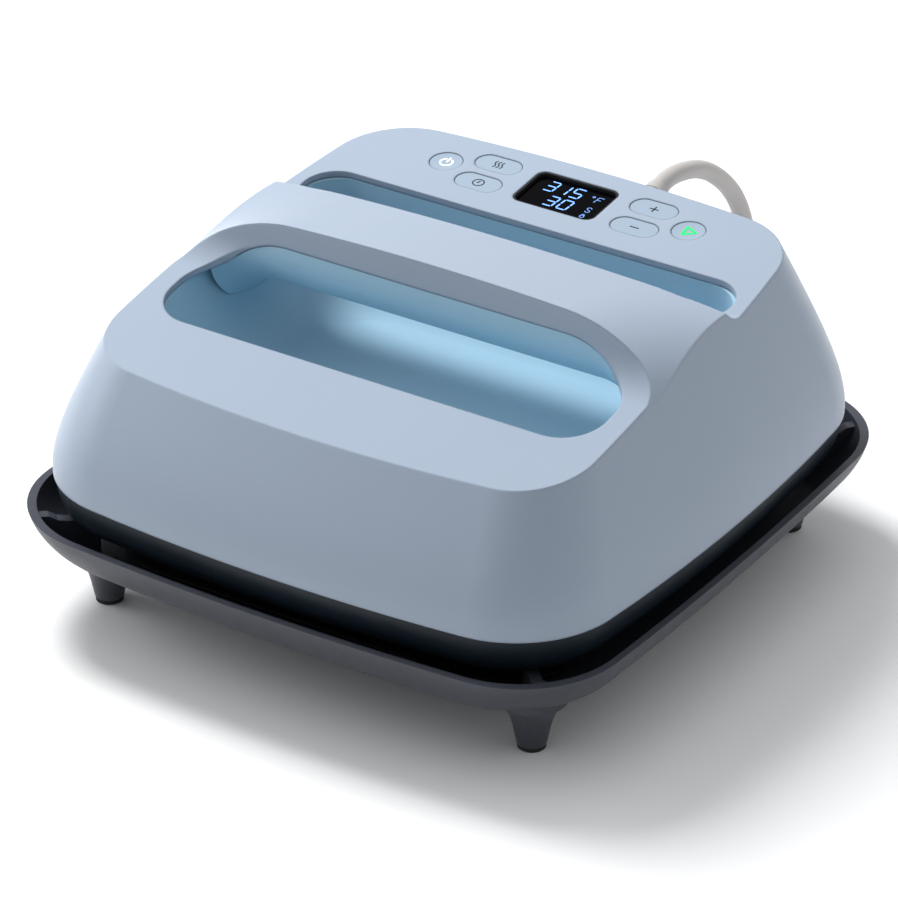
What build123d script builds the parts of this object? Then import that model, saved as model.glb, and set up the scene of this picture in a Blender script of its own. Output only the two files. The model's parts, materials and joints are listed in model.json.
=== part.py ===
from build123d import *

import math
import os

# Hand-held heat press resting on its safety base.
# Dimensions below are in millimetres with +Z up and z = 0 under the base's foot pads. Every piece is
# saved lowered by PLATE_BOTTOM_Z, so the part's origin is the centre of the plate's working face.
# +X is the user's right, -Y is towards the user, +Y towards the control deck and the power cord.

# ---------------------------------------------------------------- press shell
SHELL_EDGE_Z = 62.6          # lower edge of the painted shell
SHELL_HALF_X = 140.0
SHELL_HALF_Y = 140.6
SHELL_CORNER_R = 48.3
SHELL_BULGE_R = 900.0        # radius of the gently bowed sides, in plan
SHELL_WALL = 2.8
SHELL_LEVELS = (0.0, 8.0, 18.0, 32.0, 50.0, 70.0, 98.0)   # loft stations above the lower edge
SIDE_LEAN = 0.447            # final lean of a side wall, as inward travel per height
FRONT_LEAN = 0.706
WALL_ROUND = 22.0            # height over which a wall turns from upright to its lean
CORNER_SHRINK = 0.18         # corner radius lost per height
CORNER_SHRINK_FRONT = 0.26

# ---------------------------------------------------------------- decks cut into the shell
FRONT_DECK_Y = -100.0
FRONT_DECK_Z = 119.0
FRONT_DECK_TILT = 9.2
REAR_DECK_Y = 89.8
REAR_DECK_Z = 139.5
REAR_DECK_TILT = 5.8
HANDLE_FRONT_Y = -19.5       # crest of the handle's front edge
HANDLE_FRONT_Z = 154.0
HANDLE_FRONT_LEAN = 15.0     # handle's front wall, from the vertical
HANDLE_FRONT_R = 18.0        # hollow fillet between front deck and handle
HANDLE_REAR_Y = 30.0         # crest of the handle's rear edge
HANDLE_REAR_Z = 145.5
HANDLE_REAR_LEAN = 27.0
HANDLE_REAR_R = 10.0
CROWN_R = 1500.0             # side-to-side crown of the handle's top
SHOULDER_END = 58.0          # slope at which the rolled shoulder turns into a straight fall
SHOULDER_REACH = 135.0
HANDLE_STATIONS = (          # y, top z, half width of the crown, shoulder radius
    (-42.0, 157.1, 66.0, 72.0),
    (-22.0, 154.0, 68.0, 75.0),
    (4.0, 150.0, 70.5, 125.0),
    (30.0, 146.0, 75.0, 300.0),
    (45.0, 143.7, 76.0, 330.0),
)

# ---------------------------------------------------------------- hand opening and its liner
OPENING_HALF_X = 108.0
OPENING_FRONT_Y = -71.5
OPENING_REAR_Y = -23.6
OPENING_FRONT_R = 19.0
OPENING_REAR_R = 24.0
BAND_LOW_Z = 142.5           # lower edge of the shell on the handle's front wall
BAND_HALF_X = 106.0
BAND_R = 36.0
ARCH_REACH = (-35.0, 28.0)    # stretch of the arch, towards -Y
RECESS_REAR_Y = 62.5
RECESS_FRONT_Y = 31.0
RECESS_R = 15.5
LINER_WALL = 2.2
LINER_FLOOR_Z = 87.0
LINER_BEND_Z = 127.0         # below this the liner's walls curve in to the floor
LINER_BEND = 30.0            # how far they curve in
LINER_TURNS = (0.0, 0.3, 0.55, 0.76, 0.9, 0.97)
LINER_BOSS_X = 62.0
LINER_BOSS_Y = (-30.0, 22.0)
LINER_CORNER_GAIN = 0.5
SEAM = 0.3                   # assembly gap between cosmetic mouldings

# ---------------------------------------------------------------- handle under-cover and core
GRIP_PROFILE = ((-19.6, 152.0), (-22.4, 142.5), (-22.6, 134.0), (-16.5, 124.0), (-6.0, 117.0),
                (4.0, 115.0), (15.0, 117.5), (24.5, 125.0), (29.3, 134.0), (30.6, 143.0), (31.0, 152.0))
GRIP_CENTRE = (4.0, 152.0)
GRIP_SIDE_SHARE = 0.6        # how much of the flare also goes to the front and rear
GRIP_STRAIGHT_X = 80.0       # half length of the even part of the grip
GRIP_END_X = 104.5
GRIP_FLARE = 17.0
GRIP_FLARE_STEPS = (0.35, 0.62, 0.82, 0.94, 0.985)
GRIP_WALL = 2.4
CORE_HALF_X = 84.0
CORE_LOW = (-11.0, 126.5)
CORE_HIGH = (20.0, 141.0)
HANDLE_SCREW_X = (-68.0, -28.0, 28.0, 68.0)
HANDLE_SCREW_Y = 4.0
HANDLE_SCREW_SEAT = 120.5

# ---------------------------------------------------------------- controls, in the deck's own plane
ROUND_BUTTON_X = 61.8
ROUND_BUTTON_R = 7.4
PILL_X = 39.7
PILL_Y = 8.3
PILL_LENGTH = 22.4
PILL_WIDTH = 12.0
BUTTON_GAP = 0.25
BUTTON_TOP = -0.15
BUTTON_FLANGE = 1.2
BUTTON_FLANGE_T = 0.9
BUTTON_DISH = 0.35
STEM_R = 2.0
BUTTON_TRAVEL = 0.8
DISPLAY_X = 41.5
DISPLAY_Y = 27.0
DISPLAY_R = 4.5
BEZEL_WALL = 0.9
GLASS_TOP = -2.0
BOARD_TOP = -12.6            # control board's upper face below the deck
BOARD_T = 1.6
BOARD_HALF_X = 75.0
BOARD_HALF_Y = 19.5
BOARD_SCREW_X = 71.0
BOARD_SCREW_Y = 15.5
BOARD_SCREW_R = 1.25
SWITCH = 6.0
SWITCH_T = 3.4

# ---------------------------------------------------------------- skirt and hot plate
SKIRT_WALL = 4.0
SKIRT_LEVELS = ((0.3, 0.7), (6.0, 1.5), (12.0, 3.2), (16.0, 5.8), (18.6, 9.4), (19.6, 13.5))
SPIGOT_TOP_Z = 69.0
SPIGOT_INSET = 3.6
SPIGOT_WALL = 2.2
SPIGOT_LOW_Z = 58.0
LUG_Z = (60.0, 65.95)
PLATE_HALF = 114.5           # 229 mm square working face
PLATE_R = 24.0
PLATE_T = 10.0
PLATE_BOTTOM_Z = 40.0
PLATE_GAP = 0.8
PLATE_TOP_Z = PLATE_BOTTOM_Z + PLATE_T
ELEMENT_R = 3.2
ELEMENT_Z = 46.6
ELEMENT_PATH = ((-30, 98), (-98, 98), (-98, -98), (-34, -98), (-34, 50),
                (34, 50), (34, -98), (98, -98), (98, 98), (30, 98))
ELEMENT_BEND_R = 16.0
ELEMENT_SLEEVE_R = 3.9        # cold end of the element, where it turns up
TERMINAL_TOP_Z = 72.0
STACK_HALF = 111.0           # cover, blanket and shield above the plate
COVER_Z = (50.05, 51.55)
BLANKET_Z = (51.6, 59.6)
SHIELD_Z = (59.8, 60.8)
FRAME_Z = (66.0, 69.0)
FRAME_INSET = 6.4
STANDOFFS = ((-66, -70), (66, -70), (-66, 0), (66, 0), (-66, 70), (66, 70), (0, -70), (-5, 80))
STANDOFF_R = 5.0
SENSOR_XY = (0, 0)
CUTOUT_XY = (0, -36)
SENSOR_HOLE_R = 7.2
M4_R = 2.0
M3_R = 1.5
CLEARANCE = 0.2              # radial gap round a screw's shank
THREAD_GAP = 0.02            # radial gap in a tapped hole
SHELL_BOSSES = ((126, 55), (126, -55), (-126, 55), (-126, -55),
                (55, 126), (-55, 126), (55, -121), (-55, -121))
SHELL_BOSS_R = 4.5
SHELL_BOSS_TOP = 95.0

# ---------------------------------------------------------------- safety base
TRAY_RIM_Z = 48.3
TRAY_HALF_X = 145.4
TRAY_HALF_Y = 148.4
TRAY_CORNER_R = 47.5
TRAY_BULGE_END = 1315.0
TRAY_BULGE_SIDE = 2000.0
TRAY_WALL = 3.3
TRAY_FLOOR_T = 3.0
TRAY_LEVELS = ((0.0, 0.0), (6.0, 2.0), (12.5, 5.8), (18.5, 11.4), (23.5, 18.8), (26.3, 27.5))
TRAY_CORNER_SHRINK = 0.3
FOOT_X = 106.8
FOOT_Y = 105.6
FOOT_PROFILE = ((6.3, 2.0), (8.4, 12.0), (10.6, 18.0), (15.5, 23.5), (15.5, 30.0))
PAD_R = 6.0
PAD_T = 2.0
CRADLE_T = 5.0
CRADLE_IN = 153.6            # along the diagonal, from the middle of the base
CRADLE_SEAT_Z = 42.95
PAN_HALF_X = 112.0
PAN_HALF_Y = 114.0
PAN_R = 40.0
PAN_Z = (26.6, 27.6)
PAN_SCREW = 84.0
PAN_BOSS_Z = 19.0

# ---------------------------------------------------------------- mains side, behind the hand opening
CORD_R = 4.3
CORD_X = 12.0
CORD_EXIT_Y = 126.0
CORD_EXIT_Z = 113.5
CORD_TILT = 20.0             # the cord leaves square to the leaning rear wall
CORD_START = (CORD_X, 83.3, 74.4)
CORD_BEND = ((CORD_X, 97.5, 74.4), (CORD_X, 117.5, 74.4))    # where it starts to rise, and how it heads
CORD_LEAD_IN = (26.0, 8.0)   # distances before the exit over which it comes into line
CORD_OUTSIDE = ((CORD_X, 168.0, 121.8), (CORD_X, 186.0, 115.5), (CORD_X, 203.0, 104.0),
                (CORD_X, 218.0, 88.0), (CORD_X, 229.0, 64.0), (6.0, 235.0, 38.0), (-14.0, 236.0, 17.0),
                (-46.0, 231.0, 6.3), (-80.0, 225.0, 5.6), (-104.0, 222.0, 10.0))
CORD_END = (-118.0, 222.0, 10.0)
RELIEF_NECK_R = 6.4
RELIEF_PROFILE = ((4.32, -5.5), (9.5, -5.5), (9.5, -3.6), (6.4, -3.6), (6.4, 0.3), (8.2, 0.6),
                  (8.0, 3.0), (5.5, 22.0), (5.2, 24.0), (4.32, 24.0))
POWER_BOARD = (-104.0, 76.0, -42.0, 120.0)     # low x, low y, high x, high y
POWER_BOARD_Z = 77.0
POWER_POSTS = ((-100.0, 80.0), (-46.0, 80.0), (-100.0, 116.0), (-46.0, 116.0))
ON_BOARD_Z = POWER_BOARD_Z + BOARD_T + 0.02     # upper face of the board, with the parts' seating gap
RELAY = (-99.0, 86.0, -83.0, 98.0)
RELAY_T = 15.5
HEATSINK_X = (-98.0, -82.0)
HEATSINK_Y = (101.5, 103.5, 112.0)             # back of the web, front of the web, fin tips
HEATSINK_T = 22.0
FIN_T = 1.5
FIN_PITCH = 4
TRANSFORMER = (-77.0, 96.0, -55.0, 116.0)
TRANSFORMER_T = 17.0
WINDING_SLOTS = (4.0, 10.0)
WINDING_SLOT_T = 3.0
WINDING_SLOT_DEPTH = 1.5
FUSE_START = (-76.0, 83.0)
FUSE_LENGTH = 20.0
FUSE_CAP = 5.0
FUSE_R = (2.6, 3.1)                            # glass tube, end caps
TERMINAL_BLOCK = (2.0, 69.5, 22.0, 82.5)
TERMINAL_BLOCK_TOP_Z = 79.0
TERMINALS_X = (5.5, 12.0, 18.5)
TERMINAL_Y = 76.0
BUZZER_XY = (20.0, 6.0)
LEAD_END_Z = ON_BOARD_Z + 0.1
SENSOR_LEAD_R = 1.0
SENSOR_LEAD_PATHS = (
    ((0, 0, 64.1), (0, 0, 82), (0, 20, 78), (-14, 45, 76), (-28, 62, 70), (-43.8, 84.2, 110),
     (-43.8, 84.2, LEAD_END_Z)),
    ((0, -36, 64.1), (0, -36, 84), (10, -20, 78), (16, 20, 76), (14, 50, 70), (0, 66, 66),
     (-43.8, 88, 140), (-43.8, 88, LEAD_END_Z)),
)
HEATER_LEAD_R = 1.3
HEATER_LEAD_PATHS = (
    ((-30, 98, 72.1), (-30, 98, 84), (-37, 96.5, 92), (-44.5, 94.5, 90), (-44.5, 94.5, LEAD_END_Z)),
    ((30, 98, 72.1), (30, 98, 100), (-10, 101, 92), (-44.5, 104.5, 108), (-44.5, 104.5, LEAD_END_Z)),
)
MAINS_LEAD_R = 1.2
MAINS_LEAD_PATHS = (
    ((5.5, 76, 76.6), (5.5, 76, 94), (-16, 88, 92), (-44.5, 99.5, 104), (-44.5, 99.5, LEAD_END_Z)),
    ((18.5, 76, 76.6), (18.5, 76, 104), (-12, 96, 97), (-44.5, 110, 112), (-44.5, 110, LEAD_END_Z)),
)
HARNESS_R = 1.9
HARNESS_END = (-47.0, -6.0)                    # under the control board, in the deck's plane
HARNESS_FOOT = ((-47, 90, LEAD_END_Z), (-47, 90, 100))
CLAMP_X = (1.2, 22.8)
CLAMP_Y = (88.0, 97.0)
CLAMP_TOP_Z = 80.5
CLAMP_SCREW_X = (4.5, 19.5)
PLUG_X = (-118.0, -152.0)
PLUG_HALF_Y = 13.0
PLUG_Z = (0.8, 19.2)
PIN_LENGTH = 17.0

OUT = "parts"
os.makedirs(OUT, exist_ok=True)
written = []


def save(name, shape):
    """Write one node as a STEP file, with the plate's working face at z = 0."""
    export_step(Pos(0, 0, -PLATE_BOTTOM_Z) * shape, os.path.join(OUT, name + ".step"))
    written.append(name)


# ================================================================ outline helpers
def tangent_corner(half_x, half_y, bulge_side, bulge_end, corner):
    """Centre of the corner arc of a bowed rectangle, for the quadrant x > 0, y > 0."""
    side = Vector(half_x - bulge_side, 0)
    end = Vector(0, half_y - bulge_end)
    r_side = bulge_side - corner
    r_end = bulge_end - corner
    span = (end - side).length
    along = (span**2 + r_side**2 - r_end**2) / (2 * span)
    across = math.sqrt(r_side**2 - along**2)
    unit = (end - side) * (1 / span)
    normal = Vector(-unit.Y, unit.X)
    return side + unit * along + normal * across


def quadrant_points(half_x, half_y, bulge_side, bulge_end, corner):
    """Tangent points and the middle of one corner arc: side end, middle, end-side end."""
    centre = tangent_corner(half_x, half_y, bulge_side, bulge_end, corner)
    out_side = (centre - Vector(half_x - bulge_side, 0)).normalized()
    out_end = (centre - Vector(0, half_y - bulge_end)).normalized()
    middle = (out_side + out_end).normalized()
    return [centre + direction * corner for direction in (out_side, middle, out_end)]


def bowed_wire(z, half_x, front, back, corner_front, corner_back, bulge_side, bulge_end):
    """Closed outline of eight arcs at height z; front and back are distances from the origin."""
    rear = quadrant_points(half_x, back, bulge_side, bulge_end, corner_back)
    fore = quadrant_points(half_x, front, bulge_side, bulge_end, corner_front)

    def at(point, sx, sy):
        return (point.X * sx, point.Y * sy, z)

    edges = [
        ThreePointArc(at(fore[0], 1, -1), (half_x, 0, z), at(rear[0], 1, 1)),
        ThreePointArc(at(rear[0], 1, 1), at(rear[1], 1, 1), at(rear[2], 1, 1)),
        ThreePointArc(at(rear[2], 1, 1), (0, back, z), at(rear[2], -1, 1)),
        ThreePointArc(at(rear[2], -1, 1), at(rear[1], -1, 1), at(rear[0], -1, 1)),
        ThreePointArc(at(rear[0], -1, 1), (-half_x, 0, z), at(fore[0], -1, -1)),
        ThreePointArc(at(fore[0], -1, -1), at(fore[1], -1, -1), at(fore[2], -1, -1)),
        ThreePointArc(at(fore[2], -1, -1), (0, -front, z), at(fore[2], 1, -1)),
        ThreePointArc(at(fore[2], 1, -1), at(fore[1], 1, -1), at(fore[0], 1, -1)),
    ]
    return Wire(edges)


def rounded_wire(plane, points, radii):
    """Closed polygon on a plane, each corner rounded by its own radius (0 leaves it sharp)."""
    count = len(points)
    starts = []
    ends = []
    mids = []
    for index in range(count):
        here = Vector(*points[index])
        back = (Vector(*points[index - 1]) - here).normalized()
        ahead = (Vector(*points[(index + 1) % count]) - here).normalized()
        radius = radii[index]
        half_angle = math.acos(max(-1.0, min(1.0, back.dot(ahead)))) / 2
        reach = radius / math.tan(half_angle) if radius else 0.0
        starts.append(here + back * reach)
        ends.append(here + ahead * reach)
        bisector = (back + ahead).normalized() if radius else Vector(0, 0)
        centre = here + bisector * (radius / math.sin(half_angle))
        mids.append(centre - bisector * radius)

    def place(point):
        return plane.from_local_coords(Vector(point.X, point.Y, 0))

    edges = []
    for index in range(count):
        if radii[index]:
            edges.append(ThreePointArc(place(starts[index]), place(mids[index]), place(ends[index])))
        following = (index + 1) % count
        if (starts[following] - ends[index]).length > 1e-6:
            edges.append(Line(place(ends[index]), place(starts[following])))
    return Wire(edges)


def prism(plane, points, radii, low, high):
    """Extruded rounded polygon between two offsets along the plane's normal."""
    shifted = plane.offset(low)
    face = Face(rounded_wire(shifted, points, radii))
    return Solid.extrude(face, shifted.z_dir * (high - low))


def rectangle_points(low_x, low_y, high_x, high_y):
    return [(low_x, low_y), (high_x, low_y), (high_x, high_y), (low_x, high_y)]


def rounded_block(low_x, low_y, high_x, high_y, radius, low_z, high_z, plane=Plane.XY):
    """Block with rounded upright corners."""
    return prism(plane, rectangle_points(low_x, low_y, high_x, high_y), [radius] * 4, low_z, high_z)


def block(low, high):
    """Plain box between two corner points."""
    size = [high[i] - low[i] for i in range(3)]
    return Pos(*low) * Box(*size, align=(Align.MIN, Align.MIN, Align.MIN))


def rod(x, y, low, high, radius, plane=Plane.XY):
    """Round bar along the plane's normal."""
    bar = Cylinder(radius, high - low, align=(Align.CENTER, Align.CENTER, Align.MIN))
    return plane * Pos(x, y, low) * bar


def one_solid(shape):
    """Largest solid of a boolean result."""
    return max(shape.solids(), key=lambda solid: solid.volume)


def group(shapes):
    """Separate solids in one node."""
    solids = []
    for shape in shapes:
        solids.extend(shape.solids())
    return Compound(children=solids)


# ================================================================ shell volume
def lean_in(height, lean):
    """Inward travel of a wall at a height above the shell's lower edge."""
    return lean * (math.hypot(height, WALL_ROUND) - WALL_ROUND)


def dome_wire(height, inset):
    side = lean_in(height, SIDE_LEAN) + inset
    front = lean_in(height, FRONT_LEAN) + inset
    return bowed_wire(
        SHELL_EDGE_Z + height,
        SHELL_HALF_X - side,
        SHELL_HALF_Y - front,
        SHELL_HALF_Y - side,
        SHELL_CORNER_R - CORNER_SHRINK_FRONT * height - inset,
        SHELL_CORNER_R - CORNER_SHRINK * height - inset,
        SHELL_BULGE_R - inset,
        SHELL_BULGE_R - inset,
    )


def deck_profile(y, z, tilt, depth):
    """Point and direction of a deck line in the YZ plane, lowered into the material by depth."""
    direction = Vector(math.cos(math.radians(tilt)), math.sin(math.radians(tilt)))
    normal = Vector(-direction.Y, direction.X)
    return Vector(y, z) - normal * depth, direction


def line_meet(point_a, dir_a, point_b, dir_b):
    """Crossing point of two lines in a plane."""
    cross = dir_a.X * dir_b.Y - dir_a.Y * dir_b.X
    gap = point_b - point_a
    return point_a + dir_a * ((gap.X * dir_b.Y - gap.Y * dir_b.X) / cross)


def front_cutter(depth):
    """Everything above the front deck and in front of the handle."""
    deck, along = deck_profile(FRONT_DECK_Y, FRONT_DECK_Z, FRONT_DECK_TILT, depth)
    lean = math.radians(HANDLE_FRONT_LEAN)
    up_wall = Vector(math.sin(lean), math.cos(lean))
    wall = Vector(HANDLE_FRONT_Y, HANDLE_FRONT_Z) + Vector(math.cos(lean), -math.sin(lean)) * depth
    corner = line_meet(deck, along, wall, up_wall)
    far = corner - along * 200
    high = corner + up_wall * 90
    points = [(far.X, far.Y), (corner.X, corner.Y), (high.X, high.Y), (far.X, high.Y)]
    return prism(Plane.YZ, points, [0, HANDLE_FRONT_R + depth, 0, 0], -200, 200)


def rear_cutter(depth):
    """Everything above the control deck and behind the handle."""
    deck, along = deck_profile(REAR_DECK_Y, REAR_DECK_Z, REAR_DECK_TILT, depth)
    lean = math.radians(HANDLE_REAR_LEAN)
    up_wall = Vector(-math.sin(lean), math.cos(lean))
    wall = Vector(HANDLE_REAR_Y, HANDLE_REAR_Z) - Vector(math.cos(lean), math.sin(lean)) * depth
    corner = line_meet(deck, along, wall, up_wall)
    far = corner + along * 200
    high = corner + up_wall * 90
    points = [(corner.X, corner.Y), (far.X, far.Y), (far.X, high.Y), (high.X, high.Y)]
    return prism(Plane.YZ, points, [HANDLE_REAR_R + depth, 0, 0, 0], -200, 200)


def shoulder_wire(station, depth):
    """XZ section of the space above the handle: crown below, rolled shoulders and straight falls."""
    y, top, start_x, radius = station
    top = top - depth
    radius = radius - depth
    start_angle = math.asin(start_x / CROWN_R)
    start_z = top - CROWN_R * (1 - math.cos(start_angle))
    centre_x = start_x - radius * math.sin(start_angle)
    centre_z = start_z - radius * math.cos(start_angle)
    end_x = SHOULDER_REACH
    end_angle = math.radians(SHOULDER_END)
    if centre_x + radius * math.sin(end_angle) > end_x:
        end_angle = math.asin((end_x - centre_x) / radius) - 0.002
    mid_angle = (start_angle + end_angle) / 2
    mid = (centre_x + radius * math.sin(mid_angle), centre_z + radius * math.cos(mid_angle))
    turn = (centre_x + radius * math.sin(end_angle), centre_z + radius * math.cos(end_angle))
    end_z = turn[1] - (end_x - turn[0]) * math.tan(end_angle)
    return Wire([
        Line((-end_x, y, 200), (end_x, y, 200)),
        Line((end_x, y, 200), (end_x, y, end_z)),
        Line((end_x, y, end_z), (turn[0], y, turn[1])),
        ThreePointArc((turn[0], y, turn[1]), (mid[0], y, mid[1]), (start_x, y, start_z)),
        ThreePointArc((start_x, y, start_z), (0, y, top), (-start_x, y, start_z)),
        ThreePointArc((-start_x, y, start_z), (-mid[0], y, mid[1]), (-turn[0], y, turn[1])),
        Line((-turn[0], y, turn[1]), (-end_x, y, end_z)),
        Line((-end_x, y, end_z), (-end_x, y, 200)),
    ])


def shoulder_cutter(depth):
    """Everything above the handle's rolled top."""
    return Solid.make_loft([shoulder_wire(station, depth) for station in HANDLE_STATIONS])


def dome(inset, depth):
    """Solid body of the shell: walls moved in by inset and the decks lowered by depth."""
    body = Solid.make_loft([dome_wire(height, inset) for height in SHELL_LEVELS])
    body = body - shoulder_cutter(depth)
    body = body - front_cutter(depth)
    body = body - rear_cutter(depth)
    return one_solid(body)


# ================================================================ local planes
DECK = Plane(
    origin=(0, REAR_DECK_Y, REAR_DECK_Z),
    x_dir=(1, 0, 0),
    z_dir=(0, -math.sin(math.radians(REAR_DECK_TILT)), math.cos(math.radians(REAR_DECK_TILT))),
)
CORD_EXIT = Vector(CORD_X, CORD_EXIT_Y, CORD_EXIT_Z)
CORD_AXIS = Vector(0, math.cos(math.radians(CORD_TILT)), math.sin(math.radians(CORD_TILT)))
CORD_PLANE = Plane(origin=CORD_EXIT, x_dir=(1, 0, 0), z_dir=CORD_AXIS)


def screw(x, y, seat_z, length, radius, up=True):
    """Pan-head screw with a cross recess; the head sits on seat_z and the shank points up or down."""
    head_r = radius * 1.85
    head_t = radius * 1.2
    body = rod(x, y, seat_z - length, seat_z + 0.2, radius) + rod(x, y, seat_z, seat_z + head_t, head_r)
    slot = radius * 1.1
    for size in ((slot, radius * 0.3), (radius * 0.3, slot)):
        recess_low = (x - size[0], y - size[1], seat_z + head_t * 0.45)
        recess = block(recess_low, (x + size[0], y + size[1], seat_z + 20))
        body = body - recess
    if up:
        body = mirror(body, about=Plane.XY.offset(seat_z))
    return one_solid(body)


def swept_tube(points, radius):
    """Round wire along a smooth curve that leaves along its first leg and arrives along its last."""
    path = Bezier(*points)
    start = Plane(origin=path @ 0, z_dir=path % 0)
    return one_solid(sweep(start * Circle(radius), path=path))


# ================================================================ hand opening, liner and grip volumes
def front_opening(grow, low, high):
    points = [
        (-OPENING_HALF_X - grow, OPENING_FRONT_Y - grow), (OPENING_HALF_X + grow, OPENING_FRONT_Y - grow),
        (OPENING_HALF_X + grow, OPENING_REAR_Y + grow), (-OPENING_HALF_X - grow, OPENING_REAR_Y + grow),
    ]
    radii = [OPENING_FRONT_R, OPENING_FRONT_R, OPENING_REAR_R, OPENING_REAR_R]
    return prism(Plane.XY, points, [radius + grow for radius in radii], low, high)


def handle_arch(shrink):
    """Space under the handle, seen from the front: flat top with rounded upper corners."""
    points = [
        (-BAND_HALF_X + shrink, 70), (BAND_HALF_X - shrink, 70),
        (BAND_HALF_X - shrink, BAND_LOW_Z - shrink), (-BAND_HALF_X + shrink, BAND_LOW_Z - shrink),
    ]
    return prism(Plane.XZ, points, [0, 0, BAND_R, BAND_R], *ARCH_REACH)


def rear_recess():
    points = rectangle_points(-OPENING_HALF_X, RECESS_FRONT_Y, OPENING_HALF_X, RECESS_REAR_Y)
    return prism(Plane.XY, points, [RECESS_R] * 4, 80, HANDLE_REAR_Z + 20)


def liner_wire(z, inset):
    points = rectangle_points(
        -OPENING_HALF_X + inset, OPENING_FRONT_Y + inset,
        OPENING_HALF_X - inset, RECESS_REAR_Y - inset,
    )
    radii = [OPENING_FRONT_R + inset * LINER_CORNER_GAIN] * 4
    return rounded_wire(Plane.XY.offset(z), points, radii)


def liner_volume(grow):
    """Tub-shaped space: upright walls that curve in to a flat floor."""
    depth = LINER_BEND_Z - LINER_FLOOR_Z
    wires = []
    for turn in LINER_TURNS:
        angle = turn * math.pi / 2
        z = LINER_BEND_Z - (depth + grow) * math.sin(angle)
        wires.append(liner_wire(z, LINER_BEND * (1 - math.cos(angle)) - grow))
    lower = Solid.make_loft(wires)
    upper = Solid.extrude(Face(liner_wire(LINER_BEND_Z, -grow)), Vector(0, 0, 40))
    return one_solid(lower + upper)


def grip_section(x, grow):
    """Closed U-shaped wire of the grip at a given x."""
    centre = Vector(GRIP_CENTRE[0], GRIP_CENTRE[1])
    points = []
    for y, z in GRIP_PROFILE:
        away = (Vector(y, z) - centre).normalized() * grow
        share = GRIP_SIDE_SHARE if grow > 0 else 1.0
        moved = Vector(y + away.X * share, z + away.Y)
        points.append((x, moved.X, moved.Y))
    curve = Spline(*points)
    top = [(x, points[-1][1], 165), (x, points[0][1], 165)]
    return Wire([
        curve,
        Line(points[-1], top[0]),
        Line(top[0], top[1]),
        Line(top[1], points[0]),
    ])


def grip_volume(inset):
    """Grip body: even in the middle and flaring like a trumpet at both ends."""
    steps = [(GRIP_STRAIGHT_X, -inset)]
    reach = GRIP_END_X - GRIP_STRAIGHT_X
    for step in GRIP_FLARE_STEPS:
        flare = GRIP_FLARE * (1 - math.sqrt(1 - step * step))
        steps.append((GRIP_STRAIGHT_X + reach * step, flare - inset))
    middle = Solid.make_loft([grip_section(-GRIP_STRAIGHT_X, -inset), grip_section(GRIP_STRAIGHT_X, -inset)])
    right = Solid.make_loft([grip_section(x, grow) for x, grow in steps])
    left = mirror(right, about=Plane.YZ)
    return one_solid(middle + right + left)


# ================================================================ top shell
def deck_holes():
    """Openings of the control deck for the buttons and the display window."""
    half_x = DISPLAY_X / 2
    half_y = DISPLAY_Y / 2
    holes = [rounded_block(-half_x, -half_y, half_x, half_y, DISPLAY_R, -9, 9, DECK)]
    for side in (-1, 1):
        holes.append(rod(side * ROUND_BUTTON_X, 0, -9, 9, ROUND_BUTTON_R + BUTTON_GAP, DECK))
        for y in (-PILL_Y, PILL_Y):
            holes.append(pill(side * PILL_X, y, BUTTON_GAP, -9, 9))
    return holes


def pill(x, y, grow, low, high):
    half_x = PILL_LENGTH / 2 + grow
    half_y = PILL_WIDTH / 2 + grow
    return rounded_block(x - half_x, y - half_y, x + half_x, y + half_y, half_y - 0.01, low, high, DECK)


def shell_bosses():
    bosses = [rod(x, y, FRAME_Z[1] + 0.1, SHELL_BOSS_TOP, SHELL_BOSS_R) for x, y in SHELL_BOSSES]
    for x, y in SHELL_BOSSES:
        web_x = (x + math.copysign(30, x), y + 1.2) if abs(x) > abs(y) else (x + 1.2, y)
        web_y = (x, y - 1.2) if abs(x) > abs(y) else (x - 1.2, y + math.copysign(30, y))
        low = (min(web_x[0], web_y[0]), min(web_x[1], web_y[1]), FRAME_Z[1] + 8)
        high = (max(web_x[0], web_y[0]), max(web_x[1], web_y[1]), SHELL_BOSS_TOP)
        bosses.append(block(low, high))
    for x in (-BOARD_SCREW_X, BOARD_SCREW_X):
        for y in (-BOARD_SCREW_Y, BOARD_SCREW_Y):
            bosses.append(rod(x, y, BOARD_TOP + 0.05, -1.0, 3.2, DECK))
    return bosses


outer_dome = dome(0.0, 0.0)
inner_dome = dome(SHELL_WALL, SHELL_WALL)
seam_dome = dome(SHELL_WALL + SEAM, SHELL_WALL + SEAM)

shell = outer_dome - inner_dome
for boss in shell_bosses():
    shell = shell + (boss & outer_dome)
shell = shell - front_opening(0.0, 80, 200) - handle_arch(0.0) - rear_recess()
for hole in deck_holes():
    shell = shell - hole
for x, y in SHELL_BOSSES:
    shell = shell - rod(x, y, FRAME_Z[1] - 1, SHELL_BOSS_TOP - 6, M3_R + THREAD_GAP)
for x in (-BOARD_SCREW_X, BOARD_SCREW_X):
    for y in (-BOARD_SCREW_Y, BOARD_SCREW_Y):
        shell = shell - rod(x, y, BOARD_TOP - 1, -4.5, BOARD_SCREW_R + THREAD_GAP, DECK)
shell = shell - rod(0, 0, -8, 8, RELIEF_NECK_R + 0.1, CORD_PLANE)
save("top_shell", one_solid(shell))

# ================================================================ cavity liner
liner_void = liner_volume(0.0)
liner = liner_volume(LINER_WALL) - liner_void
liner = liner & seam_dome
for x in (-LINER_BOSS_X, LINER_BOSS_X):
    for y in LINER_BOSS_Y:
        liner = liner + rod(x, y, FRAME_Z[1] + 0.1, LINER_FLOOR_Z - 0.5, 4.5)
        liner = liner - rod(x, y, FRAME_Z[1] - 1, LINER_FLOOR_Z - 4, M3_R + THREAD_GAP)
save("cavity_liner", one_solid(liner))

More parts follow.
